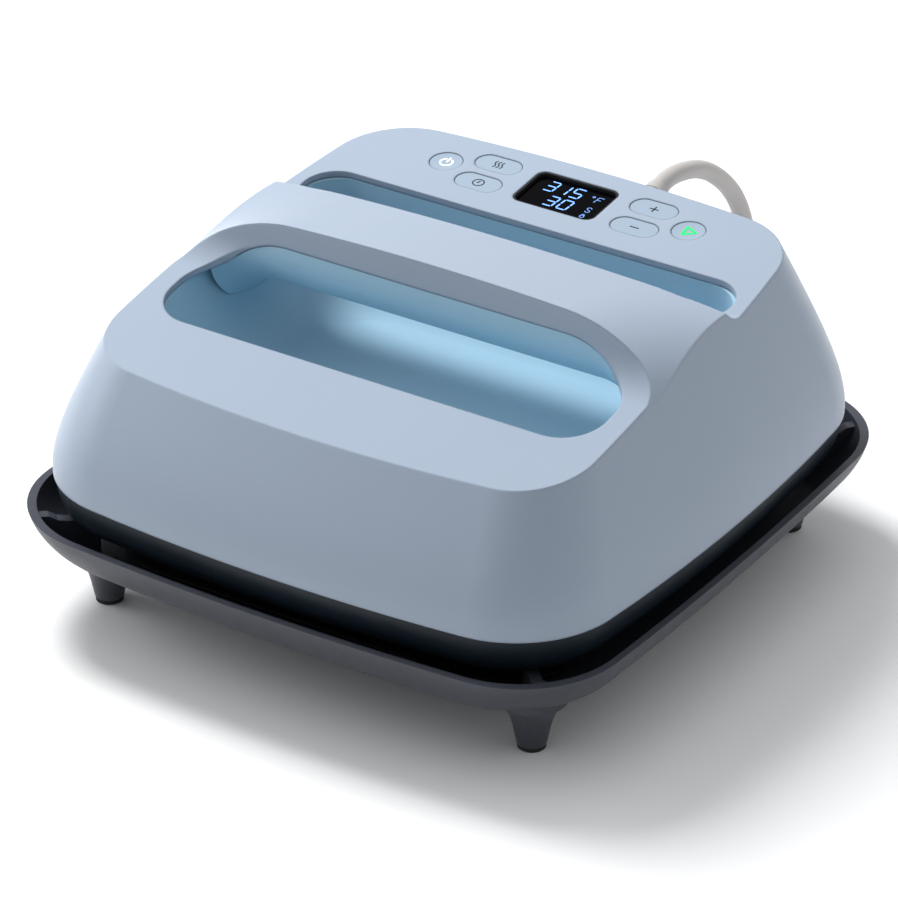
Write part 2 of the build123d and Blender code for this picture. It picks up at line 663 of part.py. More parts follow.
# ================================================================ handle
liner_room = liner_volume(-SEAM)
grip = grip_volume(0.0) - grip_volume(GRIP_WALL)
arch = handle_arch(SEAM)
cover_room = arch + seam_dome
cover = (grip & cover_room) & liner_room
cover = one_solid(cover)
for x in HANDLE_SCREW_X:
    cover = cover + (rod(x, HANDLE_SCREW_Y, 113, CORE_LOW[1] - 0.05, 5.0) & grip_volume(0.3))
    cover = cover - rod(x, HANDLE_SCREW_Y, 100, 160, M3_R + CLEARANCE)
    cover = cover - rod(x, HANDLE_SCREW_Y, 100, HANDLE_SCREW_SEAT, M3_R * 1.85 + 0.3)
save("handle_under_cover", one_solid(cover))

core = rounded_block(-CORE_HALF_X, CORE_LOW[0], CORE_HALF_X, CORE_HIGH[0], 6.0, CORE_LOW[1], CORE_HIGH[1])
for x in range(-60, 61, 20):
    pocket_low = CORE_LOW[1] + 3.0
    core = core - rounded_block(x - 7, CORE_LOW[0] + 3, x + 7, CORE_HIGH[0] - 3, 2.0, pocket_low, 160)
for x in HANDLE_SCREW_X:
    core = core + rod(x, HANDLE_SCREW_Y, CORE_LOW[1], CORE_HIGH[1], 5.0)
    core = core - rod(x, HANDLE_SCREW_Y, 110, CORE_HIGH[1] - 2.0, M3_R + THREAD_GAP)
save("handle_core", one_solid(core))
handle_screw_set = [screw(x, HANDLE_SCREW_Y, HANDLE_SCREW_SEAT, 18.0, M3_R) for x in HANDLE_SCREW_X]
save("handle_screws", group(handle_screw_set))

# ================================================================ skirt ring
def skirt_wire(drop, inset):
    return bowed_wire(
        SHELL_EDGE_Z - drop, SHELL_HALF_X - inset, SHELL_HALF_Y - inset, SHELL_HALF_Y - inset,
        SHELL_CORNER_R - inset, SHELL_CORNER_R - inset, SHELL_BULGE_R - inset, SHELL_BULGE_R - inset,
    )


def skirt_block(inset, low, high):
    face = Face(skirt_wire(SHELL_EDGE_Z - low, inset))
    return Solid.extrude(face, Vector(0, 0, high - low))


skirt = Solid.make_loft([skirt_wire(drop, inset) for drop, inset in SKIRT_LEVELS])
hollow_levels = [(-1.0, SKIRT_LEVELS[0][1] + SKIRT_WALL)]
hollow_levels += [(drop, inset + SKIRT_WALL) for drop, inset in SKIRT_LEVELS[1:4]]
skirt = skirt - Solid.make_loft([skirt_wire(drop, inset) for drop, inset in hollow_levels])
spigot = skirt_block(SPIGOT_INSET, SPIGOT_LOW_Z, SPIGOT_TOP_Z)
spigot = spigot - skirt_block(SPIGOT_INSET + SPIGOT_WALL, SPIGOT_LOW_Z - 1, SPIGOT_TOP_Z + 1)
skirt = skirt + spigot
plate_hole = PLATE_HALF + PLATE_GAP
skirt = skirt - rounded_block(-plate_hole, -plate_hole, plate_hole, plate_hole, PLATE_R + PLATE_GAP, 20, 60)
for x, y in SHELL_BOSSES:
    on_side = abs(x) > abs(y)
    end_x = math.copysign(SHELL_HALF_X - 6.4, x) if on_side else x + 6.5
    end_y = y + 6.5 if on_side else math.copysign(SHELL_HALF_Y - 6.4, y)
    low_x = x if on_side else x - 6.5
    low_y = y - 6.5 if on_side else y
    lug_low = (min(low_x, end_x), min(low_y, end_y), LUG_Z[0])
    lug_high = (max(low_x, end_x), max(low_y, end_y), LUG_Z[1])
    lug = block(lug_low, lug_high)
    skirt = skirt + (lug + rod(x, y, LUG_Z[0], LUG_Z[1], 6.5))
for x, y in SHELL_BOSSES:
    skirt = skirt - rod(x, y, LUG_Z[0] - 1, LUG_Z[1] + 1, M3_R + CLEARANCE)
save("skirt_ring", one_solid(skirt))
save("shell_screws", group([screw(x, y, LUG_Z[0], 24.0, M3_R, up=True) for x, y in SHELL_BOSSES]))

# ================================================================ hot plate and the layers above it
def square_sheet(half, radius, low, high):
    return rounded_block(-half, -half, half, half, radius, low, high)


element_line = FilletPolyline(*ELEMENT_PATH, radius=ELEMENT_BEND_R)
groove_floor = Plane.XY.offset(ELEMENT_Z - ELEMENT_R - 0.1)
groove = extrude(trace(groove_floor * element_line, 2 * ELEMENT_R + 0.2), amount=20)
plate = square_sheet(PLATE_HALF, PLATE_R, PLATE_BOTTOM_Z, PLATE_TOP_Z)
plate = plate - groove
for x, y in (ELEMENT_PATH[0], ELEMENT_PATH[-1]):
    plate = plate - rod(x, y, ELEMENT_Z - ELEMENT_R - 0.5, 60, ELEMENT_SLEEVE_R + 0.1)
for x, y in STANDOFFS:
    plate = plate - rod(x, y, PLATE_TOP_Z - 7.5, 60, M4_R + THREAD_GAP)
plate_edges = plate.edges().filter_by_position(Axis.Z, PLATE_BOTTOM_Z - 0.01, PLATE_BOTTOM_Z + 0.01)
plate = chamfer(plate_edges, 0.8)
save("heat_plate", one_solid(plate))

tube_line = Plane.XY.offset(ELEMENT_Z) * element_line
tube_start = Plane(origin=tube_line @ 0, z_dir=tube_line % 0)
element = sweep(tube_start * Circle(ELEMENT_R), path=tube_line)
for x, y in (ELEMENT_PATH[0], ELEMENT_PATH[-1]):
    element = element + rod(x, y, ELEMENT_Z - ELEMENT_R - 0.4, SHIELD_Z[1] + 0.4, ELEMENT_SLEEVE_R)
    element = element + rod(x, y, ELEMENT_Z, TERMINAL_TOP_Z, 1.6)
save("heating_element", one_solid(element))


def stack_sheet(half, radius, low, high):
    """Layer above the plate, pierced for the sleeves, terminals and sensors."""
    sheet = square_sheet(half, radius, low, high)
    for x, y in STANDOFFS:
        sheet = sheet - rod(x, y, low - 1, high + 1, STANDOFF_R + CLEARANCE)
    for x, y in (ELEMENT_PATH[0], ELEMENT_PATH[-1]):
        sheet = sheet - rod(x, y, low - 1, high + 1, ELEMENT_SLEEVE_R + 0.4)
    for x, y in (SENSOR_XY, CUTOUT_XY):
        sheet = sheet - rod(x, y, low - 1, high + 1, SENSOR_HOLE_R)
    return one_solid(sheet)


save("element_cover", stack_sheet(STACK_HALF, PLATE_R - 3, *COVER_Z))
save("insulation_blanket", stack_sheet(STACK_HALF, PLATE_R - 3, *BLANKET_Z))
shield = stack_sheet(STACK_HALF + 1.5, PLATE_R - 2, *SHIELD_Z)
save("heat_shield", shield)

sleeves = []
for x, y in STANDOFFS:
    sleeve = rod(x, y, PLATE_TOP_Z + 0.02, FRAME_Z[0] - 0.02, STANDOFF_R)
    sleeves.append(sleeve - rod(x, y, PLATE_TOP_Z - 1, FRAME_Z[0] + 1, M4_R + CLEARANCE))
save("plate_standoffs", group(sleeves))
save("plate_screws", group([screw(x, y, FRAME_Z[1], 25.0, M4_R, up=False) for x, y in STANDOFFS]))

# ================================================================ inner frame
frame = skirt_block(FRAME_INSET, *FRAME_Z)
for x, y in STANDOFFS:
    frame = frame - rod(x, y, 60, 75, M4_R + CLEARANCE)
for x, y in SHELL_BOSSES:
    frame = frame - rod(x, y, 60, 75, M3_R + CLEARANCE)
for x in (-LINER_BOSS_X, LINER_BOSS_X):
    for y in LINER_BOSS_Y:
        frame = frame - rod(x, y, 60, 75, M3_R + CLEARANCE)
for x, y in (ELEMENT_PATH[0], ELEMENT_PATH[-1]):
    frame = frame - rod(x, y, 60, 75, 6.5)
for x, y in (SENSOR_XY, CUTOUT_XY):
    frame = frame - rod(x, y, 60, 75, 4.0)
for x in (-96, 96):
    for y in (-84, -28, 28):
        frame = frame - rounded_block(x - 15, y, x + 15, y + 40, 6.0, 60, 75)
for low_x in (-48, 8):
    frame = frame - rounded_block(low_x, -54, low_x + 40, -24, 6.0, 60, 75)
post_top = POWER_BOARD_Z - 0.02
for x, y in POWER_POSTS:
    frame = frame + rod(x, y, FRAME_Z[0] + 1, post_top, 3.6)
    frame = frame - rod(x, y, FRAME_Z[0] - 1, post_top + 1, BOARD_SCREW_R + THREAD_GAP)
for x in CLAMP_SCREW_X:
    frame = frame - rod(x, sum(CLAMP_Y) / 2, 60, 75, M3_R + THREAD_GAP)
save("inner_frame", one_solid(frame))
liner_screw_set = []
for x in (-LINER_BOSS_X, LINER_BOSS_X):
    for y in LINER_BOSS_Y:
        liner_screw_set.append(screw(x, y, FRAME_Z[0], 14.0, M3_R, up=True))
save("liner_screws", group(liner_screw_set))

# ================================================================ control deck
board = rounded_block(
    -BOARD_HALF_X, -BOARD_HALF_Y, BOARD_HALF_X, BOARD_HALF_Y, 2.0, BOARD_TOP - BOARD_T, BOARD_TOP, DECK,
)
board_screw_set = []
for x in (-BOARD_SCREW_X, BOARD_SCREW_X):
    for y in (-BOARD_SCREW_Y, BOARD_SCREW_Y):
        board = board - rod(x, y, BOARD_TOP - 3, BOARD_TOP + 1, BOARD_SCREW_R + CLEARANCE, DECK)
        board_screw_set.append(DECK * screw(x, y, BOARD_TOP - BOARD_T, 9.0, BOARD_SCREW_R, up=True))
save("control_board", one_solid(board))
save("control_board_screws", group(board_screw_set))

def display_block(grow, radius, low, high):
    half_x = DISPLAY_X / 2 + grow
    half_y = DISPLAY_Y / 2 + grow
    return rounded_block(-half_x, -half_y, half_x, half_y, radius, low, high, DECK)


bezel_low = -SHELL_WALL - 0.85
bezel = display_block(-0.15, DISPLAY_R - 0.15, bezel_low, -0.3)
bezel = bezel + display_block(1.6, DISPLAY_R + 1.0, bezel_low, -SHELL_WALL - 0.05)
bezel = bezel - display_block(-BEZEL_WALL, DISPLAY_R - 0.6, bezel_low - 1, 1)
save("display_bezel", one_solid(bezel))
window = display_block(-BEZEL_WALL - 0.1, DISPLAY_R - 0.7, bezel_low - 0.9, GLASS_TOP)
window = window + display_block(1.0, DISPLAY_R, bezel_low - 0.9, bezel_low - 0.05)
save("display_window", one_solid(window))
module_top = bezel_low - 0.95
module = rounded_block(-20.0, -12.6, 20.0, 12.6, 1.5, BOARD_TOP + 0.02, module_top, DECK)
module = module - rounded_block(-18.2, -10.8, 18.2, 10.8, 1.0, module_top - 0.6, module_top + 1, DECK)
save("display_module", one_solid(module))

BUTTONS = {
    "power_button": (-ROUND_BUTTON_X, 0.0),
    "start_button": (ROUND_BUTTON_X, 0.0),
    "temperature_button": (-PILL_X, PILL_Y),
    "timer_button": (-PILL_X, -PILL_Y),
    "plus_button": (PILL_X, PILL_Y),
    "minus_button": (PILL_X, -PILL_Y),
}


def button(x, y, is_round):
    """Cap with a dished top, a retaining flange under the deck and a stem over its switch."""
    reach = ROUND_BUTTON_R if is_round else PILL_LENGTH / 2
    flange_high = -SHELL_WALL - 0.05
    flange_low = flange_high - BUTTON_FLANGE_T
    if is_round:
        cap = rod(x, y, flange_low, BUTTON_TOP, ROUND_BUTTON_R, DECK)
        flange = rod(x, y, flange_low, flange_high, ROUND_BUTTON_R + BUTTON_FLANGE, DECK)
    else:
        cap = pill(x, y, 0.0, flange_low, BUTTON_TOP)
        flange = pill(x, y, BUTTON_FLANGE, flange_low, flange_high)
    cap = fillet(cap.edges().group_by(lambda edge: round(DECK.to_local_coords(edge.center()).Z, 2))[-1], 0.45)
    dish_r = (reach**2 + BUTTON_DISH**2) / (2 * BUTTON_DISH)
    dish = DECK * Pos(x, y, BUTTON_TOP + dish_r - BUTTON_DISH) * Sphere(dish_r)
    stem = rod(x, y, BOARD_TOP + SWITCH_T + BUTTON_TRAVEL + 0.1, flange_low + 0.1, STEM_R, DECK)
    return one_solid((cap - dish) + flange + stem)


for name, (x, y) in BUTTONS.items():
    save(name, button(x, y, abs(x) == ROUND_BUTTON_X))

switches = []
for x, y in BUTTONS.values():
    half = SWITCH / 2
    body = rounded_block(x - half, y - half, x + half, y + half, 0.5, BOARD_TOP + 0.02, BOARD_TOP + 2.6, DECK)
    switches.append(body + rod(x, y, BOARD_TOP + 2.5, BOARD_TOP + SWITCH_T, 1.75, DECK))
save("tact_switches", group(switches))
leds = []
for x in (-ROUND_BUTTON_X, ROUND_BUTTON_X):
    leds.append(rounded_block(x - 1.6, 4.4, x + 1.6, 6.4, 0.3, BOARD_TOP + 0.02, BOARD_TOP + 1.4, DECK))
save("button_leds", group(leds))
board_low = BOARD_TOP - BOARD_T
buzzer = rod(*BUZZER_XY, board_low - 7.0, board_low - 0.02, 6.0, DECK)
buzzer = buzzer - rod(*BUZZER_XY, board_low - 8.0, board_low - 6.0, 1.2, DECK)
save("buzzer", one_solid(buzzer))

# ================================================================ power electronics
low_x, low_y, high_x, high_y = POWER_BOARD
power_board = rounded_block(low_x, low_y, high_x, high_y, 2.0, POWER_BOARD_Z, POWER_BOARD_Z + BOARD_T)
for x, y in POWER_POSTS:
    power_board = power_board - rod(x, y, 70, 85, BOARD_SCREW_R + CLEARANCE)
save("power_board", one_solid(power_board))
board_screws = [screw(x, y, POWER_BOARD_Z + BOARD_T, 7.0, BOARD_SCREW_R, up=False) for x, y in POWER_POSTS]
save("power_board_screws", group(board_screws))
save("relay", rounded_block(*RELAY, 1.0, ON_BOARD_Z, ON_BOARD_Z + RELAY_T))
fin_top = ON_BOARD_Z + HEATSINK_T
fins = block((HEATSINK_X[0], HEATSINK_Y[0], ON_BOARD_Z), (HEATSINK_X[1], HEATSINK_Y[1], fin_top))
for x in range(int(HEATSINK_X[0]), int(HEATSINK_X[1]), FIN_PITCH):
    fins = fins + block((x, HEATSINK_Y[1] - 0.5, ON_BOARD_Z), (x + FIN_T, HEATSINK_Y[2], fin_top))
save("triac_heatsink", one_solid(fins))

low_x, low_y, high_x, high_y = TRANSFORMER
transformer = rounded_block(*TRANSFORMER, 1.0, ON_BOARD_Z, ON_BOARD_Z + TRANSFORMER_T)
for rise in WINDING_SLOTS:
    slot_low = ON_BOARD_Z + rise
    slot_high = slot_low + WINDING_SLOT_T
    around = block((low_x - 3, low_y - 3, slot_low), (high_x + 3, high_y + 3, slot_high))
    winding = block(
        (low_x + WINDING_SLOT_DEPTH, low_y + WINDING_SLOT_DEPTH, slot_low),
        (high_x - WINDING_SLOT_DEPTH, high_y - WINDING_SLOT_DEPTH, slot_high),
    )
    transformer = transformer - (around - winding)
save("psu_transformer", one_solid(transformer))

fuse_line = Plane.YZ.offset(FUSE_START[0])
fuse_z = ON_BOARD_Z + FUSE_R[1] + 0.1
fuse = rod(FUSE_START[1], fuse_z, FUSE_CAP / 2, FUSE_LENGTH - FUSE_CAP / 2, FUSE_R[0], fuse_line)
for start in (0.0, FUSE_LENGTH - FUSE_CAP):
    fuse = fuse + rod(FUSE_START[1], fuse_z, start, start + FUSE_CAP, FUSE_R[1], fuse_line)
save("fuse", one_solid(fuse))

low_x, low_y, high_x, high_y = TERMINAL_BLOCK
terminals = block((low_x, low_y, FRAME_Z[1] + 0.02), (high_x, high_y, TERMINAL_BLOCK_TOP_Z))
for x in TERMINALS_X:
    terminals = terminals - rod(x, TERMINAL_Y, TERMINAL_BLOCK_TOP_Z - 2.5, TERMINAL_BLOCK_TOP_Z + 1, 2.2)
    terminals = terminals - rod(x, 73.5, -high_y - 1, -high_y + 4.5, 1.6, Plane.XZ)
save("terminal_block", one_solid(terminals))

x, y = SENSOR_XY
sensor = rod(x, y, PLATE_TOP_Z + 0.02, 56.0, 5.5) + rod(x, y, 55.0, 64.0, 1.6)
save("temperature_sensor", one_solid(sensor))
x, y = CUTOUT_XY
cutout = rod(x, y, PLATE_TOP_Z + 0.02, 57.0, 6.6) + rod(x, y, 56.0, 64.0, 1.6)
save("thermal_cutout", one_solid(cutout))
save("sensor_leads", group([swept_tube(path, SENSOR_LEAD_R) for path in SENSOR_LEAD_PATHS]))
save("heater_leads", group([swept_tube(path, HEATER_LEAD_R) for path in HEATER_LEAD_PATHS]))
save("mains_leads", group([swept_tube(path, MAINS_LEAD_R) for path in MAINS_LEAD_PATHS]))
harness_top = DECK.from_local_coords(Vector(*HARNESS_END, BOARD_TOP - BOARD_T - 0.1))
harness_lead_in = DECK.from_local_coords(Vector(*HARNESS_END, BOARD_TOP - BOARD_T - 12.0))
save("control_harness", swept_tube([*HARNESS_FOOT, tuple(harness_lead_in), tuple(harness_top)], HARNESS_R))

# ================================================================ mains cord
cord_in_line = [tuple(CORD_EXIT - CORD_AXIS * distance) for distance in CORD_LEAD_IN]
cord_out = tuple(CORD_EXIT + CORD_AXIS * 25)
cord_line = Wire([
    Line(CORD_START, CORD_BEND[0]),
    Bezier(*CORD_BEND, *cord_in_line),
    Line(cord_in_line[-1], cord_out),
    Spline(cord_out, *CORD_OUTSIDE, tangents=(tuple(CORD_AXIS), (-1, 0, 0)), tangent_scalars=(1, 1)),
    Line(CORD_OUTSIDE[-1], CORD_END),
])
cord_start = Plane(origin=CORD_START, z_dir=(0, 1, 0))
cord = one_solid(sweep(cord_start * Circle(CORD_R), path=cord_line))
save("power_cord", cord)

relief_edges = []
for k in range(len(RELIEF_PROFILE)):
    last_r, last_z = RELIEF_PROFILE[k - 1]
    next_r, next_z = RELIEF_PROFILE[k]
    relief_edges.append(Line((last_r, 0, last_z), (next_r, 0, next_z)))
relief = revolve(Face(Wire(relief_edges)), Axis.Z)
for z in range(6, 20, 4):
    relief = relief - (rod(0, 0, z, z + 1.6, 12) - rod(0, 0, z - 1, z + 3, 5.6))
save("cord_strain_relief", one_solid(CORD_PLANE * relief))

clamp = rounded_block(CLAMP_X[0], CLAMP_Y[0], CLAMP_X[1], CLAMP_Y[1], 1.5, FRAME_Z[1] + 0.02, CLAMP_TOP_Z)
clamp = clamp - (Pos(CORD_X, CLAMP_Y[0] - 5, 74.4) * Rot(-90, 0, 0) * Cylinder(CORD_R + 0.4, 40))
for x in CLAMP_SCREW_X:
    clamp = clamp - rod(x, sum(CLAMP_Y) / 2, 60, 90, M3_R + CLEARANCE)
save("cord_clamp", one_solid(clamp))
clamp_y = sum(CLAMP_Y) / 2
save("clamp_screws", group([screw(x, clamp_y, CLAMP_TOP_Z, 13.5, M3_R, up=False) for x in CLAMP_SCREW_X]))

plug_end = Plane(origin=CORD_END, x_dir=(0, 1, 0), z_dir=(-1, 0, 0))
plug_y = CORD_END[1]
plug = block((PLUG_X[1], plug_y - PLUG_HALF_Y, PLUG_Z[0]), (PLUG_X[0], plug_y + PLUG_HALF_Y, PLUG_Z[1]))
plug = fillet(plug.edges(), 3.0)
neck = rod(0, 0, -13.0, 2.0, 6.4, plug_end)
plug = plug + neck
for offset in (-11.0, -7.5, -4.0):
    groove_core = rod(0, 0, offset - 1, offset + 3, 5.4, plug_end)
    plug = plug - (rod(0, 0, offset, offset + 1.6, 9, plug_end) - groove_core)
plug = plug - rod(0, 0, -14.0, 0.05, CORD_R + 0.02, plug_end)
pins = []
for side in (-1, 1):
    y = CORD_END[1] + side * 6.35
    pins.append(block((PLUG_X[1] - PIN_LENGTH, y - 0.75, 6.0), (PLUG_X[1] + 6.0, y + 0.75, 12.4)))
    plug = plug - block((PLUG_X[1] - 1, y - 0.77, 5.98), (PLUG_X[1] + 6.02, y + 0.77, 12.42))
earth = Plane(origin=(PLUG_X[1], CORD_END[1], 15.6), x_dir=(0, 1, 0), z_dir=(-1, 0, 0))
pins.append(rod(0, 0, -6.0, PIN_LENGTH + 2.0, 2.3, earth))
plug = plug - rod(0, 0, -6.02, 1.0, 2.32, earth)
save("power_plug", one_solid(plug))
save("plug_pins", group(pins))

# ================================================================ safety base
def tray_wire(drop, inset):
    corner = TRAY_CORNER_R - TRAY_CORNER_SHRINK * inset
    half_y = TRAY_HALF_Y - inset
    return bowed_wire(
        TRAY_RIM_Z - drop, TRAY_HALF_X - inset, half_y, half_y, corner, corner,
        TRAY_BULGE_SIDE - inset, TRAY_BULGE_END - inset,
    )


def foot(x, y):
    """Flared pedestal, turned about its own axis."""
    outline = [(0, FOOT_PROFILE[0][1])] + list(FOOT_PROFILE) + [(0, FOOT_PROFILE[-1][1])]
    edges = [Line((0, 0, outline[0][1]), (outline[1][0], 0, outline[1][1]))]
    edges.append(Spline(*[(r, 0, z) for r, z in FOOT_PROFILE[:-1]]))
    neck_r, neck_z = FOOT_PROFILE[-2]
    top_r, top_z = FOOT_PROFILE[-1]
    edges.append(Line((neck_r, 0, neck_z), (top_r, 0, top_z)))
    edges.append(Line((top_r, 0, top_z), (0, 0, top_z)))
    edges.append(Line((0, 0, top_z), (0, 0, outline[0][1])))
    return Pos(x, y, 0) * revolve(Face(Wire(edges)), Axis.Z)


tray_outer = Solid.make_loft([tray_wire(drop, inset) for drop, inset in TRAY_LEVELS])
floor_z = TRAY_RIM_Z - TRAY_LEVELS[-1][0] + TRAY_FLOOR_T
inner_levels = [(drop, inset + TRAY_WALL) for drop, inset in TRAY_LEVELS[:-1]]
inner_levels[0] = (-1.0, TRAY_WALL - 0.2)
tray_hollow = Solid.make_loft([tray_wire(drop, inset) for drop, inset in inner_levels])
tray = tray_outer
for sx in (-1, 1):
    for sy in (-1, 1):
        tray = tray + foot(sx * FOOT_X, sy * FOOT_Y)
tray = tray - tray_hollow
for sx in (-1, 1):
    for sy in (-1, 1):
        tray = tray + rod(sx * PAN_SCREW, sy * PAN_SCREW, PAN_BOSS_Z, PAN_Z[0] - 0.02, 5.0)
        tray = tray - rod(sx * PAN_SCREW, sy * PAN_SCREW, PAN_BOSS_Z + 1.5, 40, M3_R + THREAD_GAP)
        tray = tray - rod(sx * FOOT_X, sy * FOOT_Y, 0, 5.2, 3.02)

cradle_points = [
    (CRADLE_IN, 23.0), (CRADLE_IN, 40.0), (CRADLE_IN + 3.0, CRADLE_SEAT_Z), (167.0, CRADLE_SEAT_Z),
    (171.5, 43.8), (175.5, 46.2), (187.0, 46.8), (187.0, 23.0),
]
for angle in (45.6, 134.4, 225.6, 314.4):
    radial = Plane(origin=(0, 0, 0), x_dir=(math.cos(math.radians(angle)), math.sin(math.radians(angle)), 0),
                   z_dir=(math.sin(math.radians(angle)), -math.cos(math.radians(angle)), 0))
    rib = prism(radial, cradle_points, [0, 2.0, 1.5, 1.5, 1.5, 1.5, 0, 0], -CRADLE_T / 2, CRADLE_T / 2)
    tray = tray + (rib & tray_outer)
save("base_tray", one_solid(tray))
pads = []
for sx in (-1, 1):
    for sy in (-1, 1):
        pad = rod(sx * FOOT_X, sy * FOOT_Y, 0, PAD_T - 0.02, PAD_R)
        pad = pad + rod(sx * FOOT_X, sy * FOOT_Y, PAD_T - 0.5, 5.0, 3.0)
        pads.append(pad)
save("base_foot_pads", group(pads))

pan = rounded_block(-PAN_HALF_X, -PAN_HALF_Y, PAN_HALF_X, PAN_HALF_Y, PAN_R, *PAN_Z)
pan_screws = []
for sx in (-1, 1):
    for sy in (-1, 1):
        pan = pan - rod(sx * PAN_SCREW, sy * PAN_SCREW, 20, 30, M3_R + CLEARANCE)
        pan_screws.append(screw(sx * PAN_SCREW, sy * PAN_SCREW, PAN_Z[1], 6.5, M3_R, up=False))
save("base_heat_pan", one_solid(pan))
save("base_pan_screws", group(pan_screws))

print(len(written), "nodes written")
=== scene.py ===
# Looks of the hand-held heat press: materials, printed icons, display figures, floor, light and camera.
import json
import math

import bmesh
import bpy
from mathutils import Matrix, Vector
from mathutils.bvhtree import BVHTree


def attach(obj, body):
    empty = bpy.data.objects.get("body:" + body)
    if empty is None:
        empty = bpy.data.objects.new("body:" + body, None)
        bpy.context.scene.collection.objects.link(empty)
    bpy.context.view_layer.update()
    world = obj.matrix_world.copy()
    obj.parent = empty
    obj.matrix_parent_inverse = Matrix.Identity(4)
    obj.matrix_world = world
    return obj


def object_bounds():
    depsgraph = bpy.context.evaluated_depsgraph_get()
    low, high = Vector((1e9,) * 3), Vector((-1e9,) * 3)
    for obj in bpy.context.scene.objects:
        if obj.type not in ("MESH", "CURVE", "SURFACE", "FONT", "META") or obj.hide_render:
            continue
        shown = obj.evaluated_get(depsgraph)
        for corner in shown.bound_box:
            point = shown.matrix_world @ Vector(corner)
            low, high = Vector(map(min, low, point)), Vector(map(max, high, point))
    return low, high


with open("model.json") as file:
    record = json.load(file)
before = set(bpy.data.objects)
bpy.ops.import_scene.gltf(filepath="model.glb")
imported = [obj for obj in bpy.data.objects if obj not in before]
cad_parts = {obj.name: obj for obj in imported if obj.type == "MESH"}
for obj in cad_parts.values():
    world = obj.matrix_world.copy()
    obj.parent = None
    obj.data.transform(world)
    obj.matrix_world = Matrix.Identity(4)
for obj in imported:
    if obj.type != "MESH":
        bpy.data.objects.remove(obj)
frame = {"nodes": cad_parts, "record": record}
cad_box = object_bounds()
nodes = frame["nodes"]
MM = 0.001

# Control deck: its own plane, in the row frame
DECK_TILT = math.radians(5.8)
DECK_ORIGIN = Vector((0.0, 0.0898, 0.0995))
DECK = Matrix.Translation(DECK_ORIGIN) @ Matrix.Rotation(DECK_TILT, 4, "X")
ROUND_X = 61.8
PILL_X = 39.7
PILL_Y = 8.3
PRINT_LIFT = 0.02          # mm, how far a print stands proud of what it is printed on


# ---------------------------------------------------------------- material helpers
class Graph:
    """A material's node tree with short calls for the nodes used here."""

    def __init__(self, name, edge_radius=0.0004):
        self.edge_radius = edge_radius
        self.material = bpy.data.materials.new(name)
        self.material.use_nodes = True
        self.tree = self.material.node_tree
        self.shader = self.tree.nodes["Principled BSDF"]
        self.coords = self.tree.nodes.new("ShaderNodeTexCoord")

    def link(self, source, target):
        self.tree.links.new(source, target)

    def noise(self, scale, detail=4.0, rough=0.55, stretch=None):
        node = self.tree.nodes.new("ShaderNodeTexNoise")
        node.inputs["Scale"].default_value = scale
        node.inputs["Detail"].default_value = detail
        node.inputs["Roughness"].default_value = rough
        self.link(self.mapped(stretch), node.inputs["Vector"])
        return node.outputs["Fac"]

    def mapped(self, stretch):
        if stretch is None:
            return self.coords.outputs["Object"]
        node = self.tree.nodes.new("ShaderNodeMapping")
        node.inputs["Scale"].default_value = stretch
        self.link(self.coords.outputs["Object"], node.inputs["Vector"])
        return node.outputs["Vector"]

    def cells(self, scale):
        node = self.tree.nodes.new("ShaderNodeTexVoronoi")
        node.inputs["Scale"].default_value = scale
        self.link(self.coords.outputs["Object"], node.inputs["Vector"])
        return node.outputs["Distance"]

    def spread(self, value, low, high, start=0.3, end=0.7):
        node = self.tree.nodes.new("ShaderNodeMapRange")
        node.inputs["From Min"].default_value = start
        node.inputs["From Max"].default_value = end
        node.inputs["To Min"].default_value = low
        node.inputs["To Max"].default_value = high
        self.link(value, node.inputs["Value"])
        return node.outputs["Result"]

    def blend(self, value, first, second):
        node = self.tree.nodes.new("ShaderNodeMix")
        node.data_type = "RGBA"
        node.inputs["A"].default_value = (*first, 1.0)
        node.inputs["B"].default_value = (*second, 1.0)
        self.link(value, node.inputs["Factor"])
        return node.outputs["Result"]

    def painted_edge_highlight(self, value, colour, amount):
        """Lightens convex edges towards a paler colour: a painted highlight where a moulded edge would catch the
        light.
        """
        geometry = self.tree.nodes.new("ShaderNodeNewGeometry")
        mask = self.spread(geometry.outputs["Pointiness"], 0.0, amount, 0.52, 0.62)
        node = self.tree.nodes.new("ShaderNodeMix")
        node.data_type = "RGBA"
        node.inputs["B"].default_value = (*colour, 1.0)
        self.link(value, node.inputs["A"])
        self.link(mask, node.inputs["Factor"])
        return node.outputs["Result"]

    def bump(self, height, strength, distance):
        node = self.tree.nodes.new("ShaderNodeBump")
        node.inputs["Strength"].default_value = strength
        node.inputs["Distance"].default_value = distance
        self.link(height, node.inputs["Height"])
        soften = self.tree.nodes.new("ShaderNodeBevel")
        soften.samples = 6
        soften.inputs["Radius"].default_value = self.edge_radius
        self.link(soften.outputs["Normal"], node.inputs["Normal"])
        self.link(node.outputs["Normal"], self.shader.inputs["Normal"])

    def set(self, **values):
        for key, value in values.items():
            self.shader.inputs[key.replace("_", " ")].default_value = value
        return self

    def feed(self, name, output):
        self.link(output, self.shader.inputs[name])


def shade(colour, factor):
    return tuple(channel * factor for channel in colour)


def moulded(name, colour, rough, grain, depth, contrast=0.03, edge_radius=0.0004, specular=0.5):
    """Moulded plastic: slight tone drift, fine grain in the bump and a roughness that wanders."""
    graph = Graph(name, edge_radius)
    drift = graph.noise(14.0, 3.0)
    tone = graph.blend(graph.spread(drift, 0.0, 1.0), shade(colour, 1 - contrast), shade(colour, 1 + contrast))
    graph.feed("Base Color", tone)
    graph.feed("Roughness", graph.spread(graph.noise(60.0), rough - 0.03, rough + 0.04))
    graph.set(Specular_IOR_Level=specular)
    graph.bump(graph.noise(grain, 3.0, 0.6), 0.35, depth)
    return graph.material


